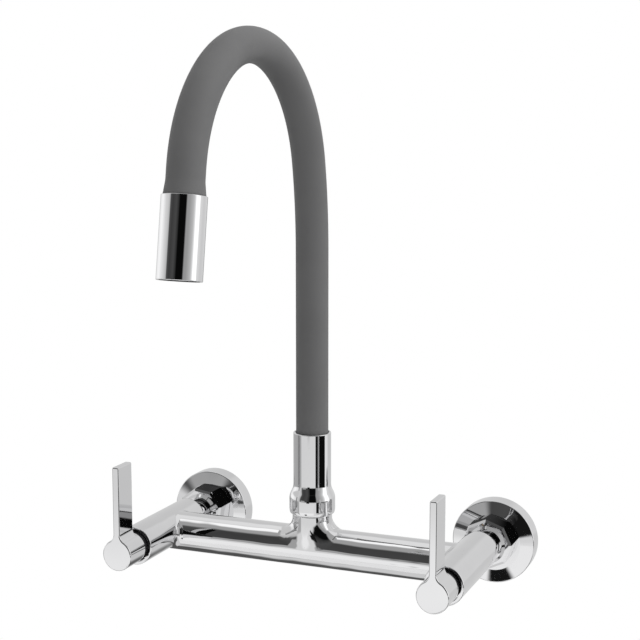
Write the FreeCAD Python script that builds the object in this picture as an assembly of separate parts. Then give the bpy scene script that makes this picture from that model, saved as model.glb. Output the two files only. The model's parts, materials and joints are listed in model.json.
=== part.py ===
import FreeCAD, Part
import math
import os

# Wall-mounted kitchen mixer tap with two lever handles and a flexible gooseneck spout.
# Millimetres. +X runs right along the bar, +Y into the wall, +Z up.
# The origin lies on the wall face, midway between the two wall pipes.
# A "distance" is measured from the wall towards the user, so it runs along -Y.
# A "height" is measured from the wall pipes' axis, along +Z.

# Layout
inlet_spacing = 200.0
barrel_rise = 4.1
union_rise = 2.6
bar_distance = 69.4
bar_drop = 1.95

# Body casting
bar_radius = 12.35
bar_end_inset = 3.0
barrel_radius = 12.0
barrel_back_distance = 43.0
barrel_front_distance = 116.5
neck_radius = 12.3
neck_height = 22.0
tee_side_fillet = 3.0
tee_front_fillet = 75.0
barrel_fillet = 4.0
barrel_back_round = 1.8
barrel_lip_round = 0.7
neck_top_round = 0.6
bar_bore_radius = 8.5
bar_bore_overlap = 2.0
neck_bore_radius = 9.0

# Wall pipe threads and eccentric connectors
wall_thread_radius = 10.48
union_thread_radius = 13.2
wall_thread_length = 20.0
connector_body_radius = 14.0
connector_body_start = 2.0
connector_body_end = 9.0
connector_bore_radius = 7.0

# Flanges
flange_radius = 26.6
flange_rim_depth = 11.0
flange_depth = 12.2
flange_land_radius = 18.0
flange_wall = 1.2
flange_edge_round = 0.7

# Union nuts, washers and nipples
nut_sides = 8
nut_across_flats = 29.6
nut_flat_length = 13.5
nut_bevel_width = 1.5
nut_bevel_length = 0.9
nut_nose_base_radius = 12.0
nut_nose_front_radius = 10.4
nut_nose_length = 1.7
nut_lip_length = 4.1
nut_turns = {"left": 60.0, "right": 48.0}
thread_engagement = 8.2
washer_thickness = 1.5
collar_radius = 12.6
collar_thickness = 2.0
nipple_neck_radius = 8.6
nipple_bore_radius = 6.0
nipple_spigot_radius = 7.8
nipple_spigot_length = 10.0

# Cartridges
seat_distance = 57.0
seat_bore_radius = 6.0
chamber_radius = 8.0
bonnet_radius = 9.4
bonnet_depth = 16.5
bonnet_length = 12.0
bonnet_cap_radius = 8.6
bonnet_cap_length = 1.3
barrel_mouth_radius = 10.3
cartridge_radius = 7.3
disc_bore_radius = 6.2
disc_chamber_length = 14.0
seat_seal_thickness = 2.5
seat_seal_bore_radius = 5.0
disc_thickness = 3.5
fixed_disc_radius = 6.1
moving_disc_radius = 5.9
disc_port_radius = 1.7
disc_port_offset = 3.4
driver_width = 4.0
driver_depth = 1.2
driver_length = 10.8
driver_web = 2.0
window_radius = 2.6
window_edge_distance = 0.8
cartridge_o_ring_groove_radius = 6.6
cartridge_o_ring_position = 38.0
spindle_radius = 3.5
spindle_end_radius = 3.9
spindle_o_ring_groove_radius = 2.6
spindle_o_ring_position = 47.0
stop_ring_radius = 8.8
stop_ring_bore_radius = 4.4

# Handles
hub_radius = 9.7
hub_gap = 3.5
hub_length = 17.8
lever_thickness = 4.3
lever_depth = 16.5
lever_height = 54.7
lever_fillet = 5.5
lever_corner_round = 0.9
handle_edge_round = 0.8
handle_socket_depth = 11.5
grub_screw_radius = 2.0
grub_screw_length = 4.6
grub_screw_position = 6.0
hex_key_radius = 1.1
hex_key_depth = 1.8

# Spout base
thrust_washer_thickness = 0.5
thrust_washer_radius = 11.6
ferrule_band_radius = 14.2
ferrule_foot_radius = 13.8
ferrule_foot_height = 2.5
ferrule_band_height = 8.6
ferrule_flare_height = 9.6
ferrule_radius = 11.65
ferrule_height = 50.5
ferrule_wall = 1.2
ferrule_web_thickness = 4.0
ferrule_rim_round = 0.4
tail_reach = 14.0
tail_shoulder_radius = 10.3
tail_shoulder_height = 3.0
tail_stem_radius = 7.5
tail_stem_height = 14.0
tail_bore_radius = 5.0
tail_o_ring_groove_radius = 7.9
tail_o_ring_depths = (8.5, 11.5)
spout_screw_depth = 4.5
spout_screw_radius = 2.0
spout_screw_tip_radius = 1.4
spout_screw_groove_radius = 7.6
spout_screw_groove_width = 3.4

# Hose fittings
fitting_radius = 9.5
fitting_nut_height = 12.0
fitting_cup_depth = 8.0
fitting_bore_radius = 2.8
barb_length = 16.0

# Gooseneck: a straight riser, three tangent arcs, then a straight outlet run
riser_top_height = 187.9
rear_sweep_radius = 265.0
rear_sweep_angle = 11.6
crown_radius = 80.7
crown_angle = 127.3
front_sweep_radius = 73.8
front_sweep_angle = 31.9
outlet_run = 12.9
sleeve_radius = 9.95
sleeve_wall = 2.05
sleeve_flare_radius = 10.85
sleeve_flare_length = 7.2
coil_radius = 7.6
coil_wall = 1.4
inner_hose_radius = 5.8
inner_hose_wall = 1.7
rear_bend_length = 92.0
front_bend_length = 88.0

# Spout bell and aerator, measured along the outlet from the bell's top
bell_radius = 11.75
bell_length = 42.4
bell_wall = 1.4
bell_top_wall = 2.0
bell_rim_round = 0.4
head_flange_thickness = 4.0
head_nozzle_radius = 8.0
head_nozzle_length = 7.0
aerator_recess = 1.5
aerator_length = 13.0
aerator_wall = 1.5
aerator_lip = 0.8
aerator_washer_thickness = 1.7
screen_thickness = 1.2
screen_hole_radius = 0.55
screen_hole_pitch = 1.9

# Clearances
thread_clearance = 0.05
running_clearance = 0.05
slip_clearance = 0.3
seat_clearance = 0.02
loose_clearance = 0.4

# How far a cutter runs past the face that it cuts, and how near two sizes are to count as one
cut_overshoot = 1.0
match_tolerance = 1e-4

OUT = FreeCAD.Vector(0, -1, 0)
UP = FreeCAD.Vector(0, 0, 1)
RIGHT = FreeCAD.Vector(1, 0, 0)
SIDES = {"left": -1, "right": 1}

# Places that follow from the sizes above
bar_height = barrel_rise - bar_drop
neck_top_height = bar_height + neck_height
nut_back = flange_depth + slip_clearance
nut_bevel_start = nut_back + nut_flat_length
nut_face = nut_bevel_start + nut_bevel_length
nut_front = nut_face + nut_nose_length
connector_end = nut_back + thread_engagement
collar_back = connector_end + washer_thickness
collar_front = collar_back + collar_thickness
nut_lip_start = nut_front - nut_lip_length
nut_lip_radius = nipple_neck_radius + slip_clearance
spigot_end = barrel_back_distance + nipple_spigot_length
bonnet_start = barrel_front_distance - bonnet_depth
bonnet_end = bonnet_start + bonnet_length
bonnet_cap_end = bonnet_end + bonnet_cap_length
fixed_disc_start = seat_distance + seat_seal_thickness
moving_disc_start = fixed_disc_start + disc_thickness + seat_clearance
moving_disc_end = moving_disc_start + disc_thickness
driver_start = moving_disc_end - driver_depth + seat_clearance
driver_end = moving_disc_end + driver_web
hub_back_distance = barrel_front_distance + hub_gap
handle_front_distance = hub_back_distance + hub_length
spindle_end = hub_back_distance + handle_socket_depth - slip_clearance
stop_ring_end = hub_back_distance - slip_clearance
spout_base_height = neck_top_height + thrust_washer_thickness + seat_clearance
tail_shoulder_top = spout_base_height + tail_shoulder_height
web_base = tail_shoulder_top + seat_clearance
web_top = web_base + ferrule_web_thickness
tail_stem_top = tail_shoulder_top + tail_stem_height
fitting_base = web_top + seat_clearance
fitting_cup_base = fitting_base + fitting_nut_height
fitting_top = fitting_cup_base + fitting_cup_depth
sleeve_base = fitting_top + slip_clearance
ferrule_top = spout_base_height + ferrule_height
sleeve_bore_radius = sleeve_radius - sleeve_wall
coil_bore_radius = coil_radius - coil_wall
inner_hose_bore_radius = inner_hose_radius - inner_hose_wall
cup_radius = coil_radius + running_clearance
barb_radius = inner_hose_bore_radius - running_clearance
head_reach = bell_top_wall + fitting_cup_depth


def turned_edges(edges, base, direction):
    """Revolve a closed outline, drawn with x as the radius and z along the axis, about base and direction."""
    face = Part.Face(Part.Wire(edges))
    solid = face.revolve(FreeCAD.Vector(), UP, 360)
    if solid.Volume < 0:
        solid.reverse()
    solid.Placement = FreeCAD.Placement(base, FreeCAD.Rotation(UP, direction))
    return solid


def turned(outline, base, direction):
    """Revolve a polygon of (radius, position along the axis) corners."""
    corners = [FreeCAD.Vector(radius, 0, position) for radius, position in outline]
    edges = Part.makePolygon(corners + corners[:1]).Edges
    return turned_edges(edges, base, direction)


def rod(radius, start, end, base, direction):
    return turned([(0, start), (radius, start), (radius, end), (0, end)], base, direction)


def ring(bore, radius, start, end, base, direction):
    return turned([(bore, start), (radius, start), (radius, end), (bore, end)], base, direction)


def o_ring(groove_radius, wall_radius, position, base, direction):
    """A round-section ring that fills the room between a groove and the wall around it."""
    section_radius = (wall_radius - groove_radius) / 2 - seat_clearance
    solid = Part.makeTorus((wall_radius + groove_radius) / 2, section_radius)
    centre = base + direction * position
    solid.Placement = FreeCAD.Placement(centre, FreeCAD.Rotation(UP, direction))
    return solid


def groove_width(groove_radius, wall_radius):
    return wall_radius - groove_radius + loose_clearance


def joined(solids):
    whole = solids[0]
    for solid in solids[1:]:
        whole = whole.fuse(solid)
    return whole.removeSplitter()


def cut_away(solid, tools):
    for tool in tools:
        solid = solid.cut(tool)
    return solid


def circle_edges(solid, radius, centre):
    """The round edges of one radius about one centre."""
    return [
        edge
        for edge in solid.Edges
        if isinstance(edge.Curve, Part.Circle)
        and abs(edge.Curve.Radius - radius) < match_tolerance
        and (edge.Curve.Center - centre).Length < match_tolerance
    ]


def pipe_axis(side):
    return FreeCAD.Vector(SIDES[side] * inlet_spacing / 2, 0, 0)


def union_axis(side):
    return FreeCAD.Vector(SIDES[side] * inlet_spacing / 2, 0, union_rise)


def barrel_axis(side):
    return FreeCAD.Vector(SIDES[side] * inlet_spacing / 2, 0, barrel_rise)


spout_axis = FreeCAD.Vector(0, -bar_distance, 0)


# Inlets


def flange_outline(back, inset):
    """Half of a cup's outline: a straight rim, a front that slopes up, and a level land in the middle."""
    return [
        (0, back),
        (flange_radius - inset, back),
        (flange_radius - inset, flange_rim_depth - inset),
        (flange_land_radius, flange_depth - inset),
        (0, flange_depth - inset),
    ]


def flange(side):
    """A cup centred on the wall pipe, whose off-centre hole closes round the connector."""
    base = pipe_axis(side)
    cup = turned(flange_outline(0, 0), base, OUT)
    front_edge = circle_edges(cup, flange_radius, base + OUT * flange_rim_depth)
    cup = cup.makeFillet(flange_edge_round, front_edge)
    inside = turned(flange_outline(-cut_overshoot, flange_wall), base, OUT)
    hole = rod(union_thread_radius + loose_clearance, 0, flange_depth + cut_overshoot, union_axis(side), OUT)
    return cut_away(cup, [inside, hole])


def wall_connector(side):
    """Eccentric: one thread on the wall pipe's axis, the other on the union's, joined by a thick body."""
    pipe, union = pipe_axis(side), union_axis(side)
    middle = (pipe + union) * 0.5
    half_way = (connector_body_start + connector_body_end) / 2
    outside = joined(
        [
            rod(wall_thread_radius, -wall_thread_length, connector_body_start, pipe, OUT),
            rod(connector_body_radius, connector_body_start, connector_body_end, middle, OUT),
            rod(union_thread_radius, connector_body_end, connector_end, union, OUT),
        ]
    )
    wall_bore = rod(connector_bore_radius, -wall_thread_length - cut_overshoot, half_way, pipe, OUT)
    front_bore = rod(
        connector_bore_radius, half_way - cut_overshoot, connector_end + cut_overshoot, union, OUT
    )
    return cut_away(outside, [wall_bore, front_bore])


def nut_wire(side, across_flats, distance):
    """The nut's many-sided outline, turned as it stands on that side."""
    corner_radius = across_flats / 2 / math.cos(math.pi / nut_sides)
    corners = []
    for index in range(nut_sides):
        angle = math.radians(nut_turns[side] + 360 / nut_sides * index)
        across = FreeCAD.Vector(math.cos(angle), 0, math.sin(angle)) * corner_radius
        corners.append(union_axis(side) + OUT * distance + across)
    return Part.makePolygon(corners + corners[:1])


def union_nut(side):
    """An octagon with a bevelled front and a round nose, whose inner lip pulls on the nipple's collar."""
    base = union_axis(side)
    face_across_flats = nut_across_flats - 2 * nut_bevel_width
    flats = Part.Face(nut_wire(side, nut_across_flats, nut_back)).extrude(OUT * nut_flat_length)
    front_wires = [
        nut_wire(side, nut_across_flats, nut_bevel_start),
        nut_wire(side, face_across_flats, nut_face),
    ]
    bevel = Part.makeLoft(front_wires, True, True)
    nose = turned(
        [
            (0, nut_bevel_start),
            (nut_nose_base_radius, nut_bevel_start),
            (nut_nose_base_radius, nut_face),
            (nut_nose_front_radius, nut_front),
            (0, nut_front),
        ],
        base,
        OUT,
    )
    nut = joined([flats, bevel, nose])
    thread = rod(union_thread_radius + thread_clearance, nut_back - cut_overshoot, nut_lip_start, base, OUT)
    lip = rod(nut_lip_radius, nut_back, nut_front + cut_overshoot, base, OUT)
    return cut_away(nut, [thread, lip])


def inlet_washer(side):
    return ring(connector_bore_radius, collar_radius, connector_end, collar_back, union_axis(side), OUT)


def tail_nipple(side):
    outline = [
        (nipple_bore_radius, collar_back),
        (collar_radius, collar_back),
        (collar_radius, collar_front),
        (nipple_neck_radius, collar_front),
        (nipple_neck_radius, barrel_back_distance),
        (nipple_spigot_radius, barrel_back_distance),
        (nipple_spigot_radius, spigot_end),
        (nipple_bore_radius, spigot_end),
    ]
    return turned(outline, union_axis(side), OUT)


# Body casting


def bar_with_round_ends():
    half = FreeCAD.Vector(inlet_spacing / 2 - bar_end_inset, 0, 0)
    centre = FreeCAD.Vector(0, -bar_distance, bar_height)
    cylinder = Part.makeCylinder(bar_radius, 2 * half.x, centre - half, RIGHT)
    balls = [Part.makeSphere(bar_radius, centre + half * sign) for sign in SIDES.values()]
    return joined([cylinder] + balls)


def barrel(side):
    base = barrel_axis(side)
    solid = rod(barrel_radius, barrel_back_distance, barrel_front_distance, base, OUT)
    back_edge = circle_edges(solid, barrel_radius, base + OUT * barrel_back_distance)
    solid = solid.makeFillet(barrel_back_round, back_edge)
    lip_edge = circle_edges(solid, barrel_radius, base + OUT * barrel_front_distance)
    return solid.makeFillet(barrel_lip_round, lip_edge)


def seam_edges(solid, first_surface, second_surface):
    """The edges where two faces meet whose surfaces pass the two tests."""
    seams = []
    for edge in solid.Edges:
        faces = solid.ancestorsOfType(edge, Part.Face)
        surfaces = [face.Surface for face in faces]
        if len(surfaces) == 2 and (
            (first_surface(surfaces[0]) and second_surface(surfaces[1]))
            or (first_surface(surfaces[1]) and second_surface(surfaces[0]))
        ):
            seams.append(edge)
    return seams


def is_cylinder(radius, direction):
    def test(surface):
        return (
            isinstance(surface, Part.Cylinder)
            and abs(surface.Radius - radius) < match_tolerance
            and abs(abs(surface.Axis.dot(direction)) - 1) < match_tolerance
        )

    return test


def is_bar(surface):
    ball = isinstance(surface, Part.Sphere) and abs(surface.Radius - bar_radius) < match_tolerance
    return ball or is_cylinder(bar_radius, RIGHT)(surface)


def barrel_passages(side):
    base = barrel_axis(side)
    spigot_start = barrel_back_distance - cut_overshoot
    mouth_end = barrel_front_distance + cut_overshoot
    return joined(
        [
            rod(nipple_spigot_radius + thread_clearance, spigot_start, spigot_end, union_axis(side), OUT),
            rod(seat_bore_radius, barrel_back_distance, seat_distance + cut_overshoot, base, OUT),
            rod(chamber_radius, seat_distance, bonnet_end, base, OUT),
            rod(bonnet_radius + thread_clearance, bonnet_start, barrel_front_distance, base, OUT),
            rod(barrel_mouth_radius, bonnet_end, mouth_end, base, OUT),
        ]
    )


def spout_screw_axis():
    """The axis of the spout's retaining screw: base on the spout axis, pointing to the wall."""
    return spout_axis + UP * (neck_top_height - spout_screw_depth)


def blended_tee():
    """The bar and the riser's neck, joined by a blend that opens out towards the front and back.

    The two pipes are nearly as thick as each other, so they run almost level there. One quarter is blended
    and mirrored to the other three.
    """
    neck = rod(neck_radius, bar_height, neck_top_height, spout_axis, UP)
    top_edge = circle_edges(neck, neck_radius, spout_axis + UP * neck_top_height)
    neck = neck.makeFillet(neck_top_round, top_edge)
    corner = spout_axis - (UP - OUT) * inlet_spacing
    box = Part.makeBox(inlet_spacing, inlet_spacing, 2 * inlet_spacing, corner)
    quarter = joined([bar_with_round_ends(), neck]).common(box).removeSplitter()
    seam = seam_edges(quarter, is_bar, is_cylinder(neck_radius, UP))[0]
    fillets = [tee_front_fillet, tee_side_fillet]
    if seam.Vertexes[0].X > seam.Vertexes[-1].X:
        fillets.reverse()
    quarter = quarter.makeFillet(*fillets, [seam])
    half = joined([quarter, quarter.mirror(spout_axis, RIGHT)])
    return joined([half, half.mirror(spout_axis, OUT)])


def body_casting():
    """Bar, barrels and riser neck with blended joints, hollowed by the water's passages."""
    body = joined([blended_tee()] + [barrel(side) for side in SIDES])
    body = body.makeFillet(barrel_fillet, seam_edges(body, is_bar, is_cylinder(barrel_radius, OUT)))
    reach = inlet_spacing / 2 - chamber_radius + bar_bore_overlap
    bar_start = FreeCAD.Vector(-reach, -bar_distance, bar_height)
    passages = [Part.makeCylinder(bar_bore_radius, 2 * reach, bar_start, RIGHT)]
    passages.append(rod(neck_bore_radius, bar_height, neck_top_height + cut_overshoot, spout_axis, UP))
    screw_hole_radius = spout_screw_radius + thread_clearance
    passages.append(rod(screw_hole_radius, 0, neck_radius + cut_overshoot, spout_screw_axis(), -OUT))
    passages += [barrel_passages(side) for side in SIDES]
    return cut_away(body, passages)


# Cartridges


def cartridge_body(side):
    """A slim sleeve with side windows, screwed into the barrel's mouth by its bonnet."""
    base = barrel_axis(side)
    outline = [
        (disc_bore_radius, fixed_disc_start),
        (cartridge_radius, fixed_disc_start),
        (cartridge_radius, bonnet_start),
        (bonnet_radius, bonnet_start),
        (bonnet_radius, bonnet_end),
        (bonnet_cap_radius, bonnet_end),
        (bonnet_cap_radius, bonnet_cap_end),
        (spindle_radius + running_clearance, bonnet_cap_end),
        (spindle_radius + running_clearance, fixed_disc_start + disc_chamber_length),
        (disc_bore_radius, fixed_disc_start + disc_chamber_length),
    ]
    solid = turned(outline, base, OUT)
    position = seat_distance + cartridge_o_ring_position
    half = groove_width(cartridge_o_ring_groove_radius, chamber_radius) / 2
    groove = ring(cartridge_o_ring_groove_radius, chamber_radius, position - half, position + half, base, OUT)
    window_distance = fixed_disc_start + disc_chamber_length - window_edge_distance - window_radius
    window_start = base + OUT * window_distance - FreeCAD.Vector(chamber_radius, 0, 0)
    window = Part.makeCylinder(window_radius, 2 * chamber_radius, window_start, RIGHT)
    return cut_away(solid, [groove, window])


def cartridge_o_ring(side):
    position = seat_distance + cartridge_o_ring_position
    return o_ring(cartridge_o_ring_groove_radius, chamber_radius, position, barrel_axis(side), OUT)


def seat_seal(side):
    return ring(
        seat_seal_bore_radius, cartridge_radius, seat_distance, fixed_disc_start, barrel_axis(side), OUT
    )


def ceramic_disc(side, radius, start, port_direction):
    """A flat disc with two round ports, set across its middle along one direction."""
    base = barrel_axis(side)
    end = start + disc_thickness
    disc = rod(radius, start, end, base, OUT)
    ports = [
        rod(disc_port_radius, start - cut_overshoot, end + cut_overshoot, base + port_direction * offset, OUT)
        for offset in (-disc_port_offset, disc_port_offset)
    ]
    return cut_away(disc, ports)


def fixed_disc(side):
    return ceramic_disc(side, fixed_disc_radius, fixed_disc_start, RIGHT)


def crossbar(side, width, length, start, end):
    """A straight bar across the barrel's axis, upright while the tap is shut."""
    centre = barrel_axis(side)
    corner = centre + OUT * end - FreeCAD.Vector(width / 2, 0, length / 2)
    return Part.makeBox(width, end - start, length, corner)


def moving_disc(side):
    """Its ports stand across the fixed ones while the tap is shut, and the spindle turns it by a slot."""
    disc = ceramic_disc(side, moving_disc_radius, moving_disc_start, UP)
    slot_width = driver_width + 2 * running_clearance
    slot_length = 2 * (moving_disc_radius + cut_overshoot)
    slot_start = moving_disc_end - driver_depth
    return disc.cut(crossbar(side, slot_width, slot_length, slot_start, moving_disc_end + cut_overshoot))


def spindle(side):
    base = barrel_axis(side)
    shaft = rod(spindle_radius, driver_end, bonnet_cap_end + slip_clearance, base, OUT)
    end = rod(spindle_end_radius, bonnet_cap_end + slip_clearance, spindle_end, base, OUT)
    driver = crossbar(side, driver_width, driver_length, driver_start, driver_end)
    bore = spindle_radius + running_clearance
    half = groove_width(spindle_o_ring_groove_radius, bore) / 2
    position = seat_distance + spindle_o_ring_position
    groove = ring(spindle_o_ring_groove_radius, bore, position - half, position + half, base, OUT)
    return joined([driver, shaft, end]).cut(groove)


def spindle_o_ring(side):
    position = seat_distance + spindle_o_ring_position
    wall = spindle_radius + running_clearance
    return o_ring(spindle_o_ring_groove_radius, wall, position, barrel_axis(side), OUT)


def stop_ring(side):
    return ring(
        stop_ring_bore_radius, stop_ring_radius, bonnet_cap_end, stop_ring_end, barrel_axis(side), OUT
    )


# Handles


def handle_outline(side):
    """Keyhole outline: the hub's circle and the upright lever, joined by hollow fillets."""
    centre = barrel_axis(side) + OUT * handle_front_distance
    half = lever_thickness / 2
    fillet_across = half + lever_fillet
    fillet_up = math.sqrt((hub_radius + lever_fillet) ** 2 - fillet_across**2)
    share = hub_radius / (hub_radius + lever_fillet)
    meeting = (fillet_across * share, fillet_up * share)
    lean = math.atan2(fillet_up, fillet_across) / 2
    hollow = (
        fillet_across - lever_fillet * math.cos(lean),
        fillet_up - lever_fillet * math.sin(lean),
    )

    def place(across, up, sign=1):
        return centre + FreeCAD.Vector(sign * across, 0, up)

    def flank(sign):
        """One side of the lever, from the hub up to the rounded corner at its top."""
        shoulder = (half, lever_height - lever_corner_round)
        crest = (half - lever_corner_round, lever_height)
        bulge = lever_corner_round * (1 - math.sqrt(0.5))
        corner = (half - bulge, lever_height - bulge)
        return [
            Part.Arc(place(*meeting, sign), place(*hollow, sign), place(half, fillet_up, sign)).toShape(),
            Part.makeLine(place(half, fillet_up, sign), place(*shoulder, sign)),
            Part.Arc(place(*shoulder, sign), place(*corner, sign), place(*crest, sign)).toShape(),
        ]

    top_half = half - lever_corner_round
    top = Part.makeLine(place(top_half, lever_height), place(top_half, lever_height, -1))
    hub = Part.Arc(place(*meeting, -1), place(0, -hub_radius), place(*meeting)).toShape()
    return Part.Wire(Part.__sortEdges__(flank(1) + [top] + flank(-1) + [hub]))


def grub_screw_base(side):
    """The foot of the grub screw's axis on the spindle's axis."""
    return barrel_axis(side) + OUT * (hub_back_distance + grub_screw_position)


def handle(side):
    base = barrel_axis(side)
    keyhole = Part.Face(handle_outline(side)).extrude(OUT * -lever_depth)
    ends = (-handle_front_distance, lever_depth - handle_front_distance)
    end_edges = [
        edge
        for edge in keyhole.Edges
        for end in ends
        if all(abs(vertex.Y - end) < match_tolerance for vertex in edge.Vertexes)
    ]
    keyhole = keyhole.makeFillet(handle_edge_round, end_edges)
    seam_distance = handle_front_distance - lever_depth / 2
    hub = rod(hub_radius, hub_back_distance, seam_distance, base, OUT)
    socket_radius = spindle_end_radius + running_clearance
    socket_start = hub_back_distance - cut_overshoot
    socket = rod(socket_radius, socket_start, hub_back_distance + handle_socket_depth, base, OUT)
    screw_hole_radius = grub_screw_radius + thread_clearance
    screw_hole = rod(screw_hole_radius, 0, hub_radius + cut_overshoot, grub_screw_base(side), -UP)
    return cut_away(joined([keyhole, hub]), [socket, screw_hole])


def socket_screw(radius, start, end, base, direction):
    """A headless screw with a hexagon socket in its outer end."""
    screw = rod(radius, start, end, base, direction)
    spot = base + direction * (end - hex_key_depth)
    turn = FreeCAD.Rotation(UP, direction)
    corners = []
    for index in range(7):
        angle = math.radians(60 * index)
        across = FreeCAD.Vector(math.cos(angle), math.sin(angle), 0) * hex_key_radius
        corners.append(spot + turn.multVec(across))
    key = Part.Face(Part.makePolygon(corners)).extrude(direction * (hex_key_depth + cut_overshoot))
    return screw.cut(key)


def grub_screw(side):
    start = spindle_end_radius + seat_clearance
    return socket_screw(grub_screw_radius, start, start + grub_screw_length, grub_screw_base(side), -UP)


# Spout base


def thrust_washer():
    return ring(
        neck_bore_radius + slip_clearance,
        thrust_washer_radius,
        neck_top_height,
        neck_top_height + thrust_washer_thickness,
        spout_axis,
        UP,
    )


def spout_screw():
    """A headless screw in the neck, whose tip runs in the spout tail's groove."""
    base = spout_screw_axis()
    body = socket_screw(
        spout_screw_radius, neck_bore_radius + slip_clearance, neck_radius - slip_clearance, base, -OUT
    )
    tip_start = spout_screw_groove_radius + slip_clearance
    tip = rod(spout_screw_tip_radius, tip_start, neck_bore_radius + 2 * slip_clearance, base, -OUT)
    return joined([body, tip])


def spout_tail():
    outline = [
        (tail_bore_radius, neck_top_height - tail_reach),
        (neck_bore_radius - running_clearance, neck_top_height - tail_reach),
        (neck_bore_radius - running_clearance, spout_base_height),
        (tail_shoulder_radius, spout_base_height),
        (tail_shoulder_radius, tail_shoulder_top),
        (tail_stem_radius, tail_shoulder_top),
        (tail_stem_radius, tail_stem_top),
        (tail_bore_radius, tail_stem_top),
    ]
    solid = turned(outline, spout_axis, UP)
    half = groove_width(tail_o_ring_groove_radius, neck_bore_radius) / 2
    grooves = [(tail_o_ring_groove_radius, neck_top_height - depth, half) for depth in tail_o_ring_depths]
    grooves.append(
        (spout_screw_groove_radius, neck_top_height - spout_screw_depth, spout_screw_groove_width / 2)
    )
    cuts = [
        ring(radius, neck_bore_radius, height - reach, height + reach, spout_axis, UP)
        for radius, height, reach in grooves
    ]
    return cut_away(solid, cuts)


def tail_o_rings():
    return Part.makeCompound(
        [
            o_ring(tail_o_ring_groove_radius, neck_bore_radius, neck_top_height - depth, spout_axis, UP)
            for depth in tail_o_ring_depths
        ]
    )


def s_curve(start, end):
    """Two tangent arcs from one radius to another, upright at both ends."""
    width = (start[0] - end[0]) / 2
    height = (end[1] - start[1]) / 2
    radius = (width**2 + height**2) / (2 * width)
    half_turn = math.asin(height / radius) / 2
    inset = radius * (1 - math.cos(half_turn))
    climb = radius * math.sin(half_turn)

    def point(across, up):
        return FreeCAD.Vector(across, 0, up)

    middle = point((start[0] + end[0]) / 2, (start[1] + end[1]) / 2)
    lower = Part.Arc(point(*start), point(start[0] - inset, start[1] + climb), middle)
    upper = Part.Arc(middle, point(end[0] + inset, end[1] - climb), point(*end))
    return [lower.toShape(), upper.toShape()]


def rounded_in(foot, top):
    """An arc that stands upright at the top and leans in to the foot."""
    inset = top[0] - foot[0]
    rise = top[1] - foot[1]
    radius = (inset**2 + rise**2) / (2 * inset)
    half_turn = math.asin(rise / radius) / 2
    middle = (top[0] - radius * (1 - math.cos(half_turn)), top[1] - radius * math.sin(half_turn))
    points = [FreeCAD.Vector(across, 0, up) for across, up in (foot, middle, top)]
    return Part.Arc(*points).toShape()


def ferrule():
    """A collar with a wide foot, clamped by its inner web between the tail and the hose fitting."""
    foot_top = spout_base_height + ferrule_foot_height
    band_top = spout_base_height + ferrule_band_height
    flare_top = band_top + ferrule_flare_height
    skirt_bore = tail_shoulder_radius + slip_clearance
    tube_bore = ferrule_radius - ferrule_wall
    web_bore = tail_stem_radius + thread_clearance
    flare = s_curve((ferrule_band_radius, band_top), (ferrule_radius, flare_top))

    def lines(*corners):
        points = [FreeCAD.Vector(radius, 0, height) for radius, height in corners]
        return Part.makePolygon(points).Edges

    outer = lines((ferrule_radius, flare_top), (ferrule_radius, ferrule_top), (tube_bore, ferrule_top))
    inner = lines(
        (tube_bore, ferrule_top),
        (tube_bore, web_top),
        (web_bore, web_top),
        (web_bore, web_base),
        (skirt_bore, web_base),
        (skirt_bore, spout_base_height),
        (ferrule_foot_radius, spout_base_height),
    )
    foot = rounded_in((ferrule_foot_radius, spout_base_height), (ferrule_band_radius, foot_top))
    band = lines((ferrule_band_radius, foot_top), (ferrule_band_radius, band_top))
    solid = turned_edges(flare + outer + inner + [foot] + band, spout_axis, UP)
    rim = circle_edges(solid, ferrule_radius, spout_axis + UP * ferrule_top)
    return solid.makeFillet(ferrule_rim_round, rim)


def lower_hose_fitting():
    """A nut on the tail's stem, with a cup for the metal core and a barb for the water hose."""
    stem_bore = tail_stem_radius + thread_clearance
    outline = [
        (stem_bore, fitting_base),
        (fitting_radius, fitting_base),
        (fitting_radius, fitting_top),
        (cup_radius, fitting_top),
        (cup_radius, fitting_cup_base),
        (barb_radius, fitting_cup_base),
        (barb_radius, fitting_cup_base + barb_length),
        (fitting_bore_radius, fitting_cup_base + barb_length),
        (fitting_bore_radius, tail_stem_top + slip_clearance),
        (stem_bore, tail_stem_top + slip_clearance),
    ]
    return turned(outline, spout_axis, UP)


# Gooseneck


def gooseneck_runs():
    """The centreline as (length, bend radius) runs between the fittings' cups; radius 0 is straight."""
    bends = [
        (rear_sweep_radius, rear_sweep_angle),
        (crown_radius, crown_angle),
        (front_sweep_radius, front_sweep_angle),
    ]
    arcs = [(radius * math.radians(angle), radius) for radius, angle in bends]
    return [(riser_top_height - fitting_cup_base, 0)] + arcs + [(outlet_run + head_reach, 0)]


def moved_along(place, length, radius):
    """The (distance, height, lean) reached from a place after a run, leaning out from upright."""
    distance, height, lean = place
    if radius == 0:
        return (distance + length * math.sin(lean), height + length * math.cos(lean), lean)
    end = lean + length / radius
    distance += radius * (math.cos(lean) - math.cos(end))
    height += radius * (math.sin(end) - math.sin(lean))
    return (distance, height, end)


def gooseneck_place(station):
    """The (distance, height, lean) at a length along the centreline."""
    place = (bar_distance, fitting_cup_base, 0.0)
    for length, radius in gooseneck_runs():
        step = min(length, max(0.0, station))
        place = moved_along(place, step, radius)
        station -= length
    return place


def point_at(station):
    distance, height, _ = gooseneck_place(station)
    return FreeCAD.Vector(0, -distance, height)


def direction_at(station):
    lean = gooseneck_place(station)[2]
    return FreeCAD.Vector(0, -math.sin(lean), math.cos(lean))


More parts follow.
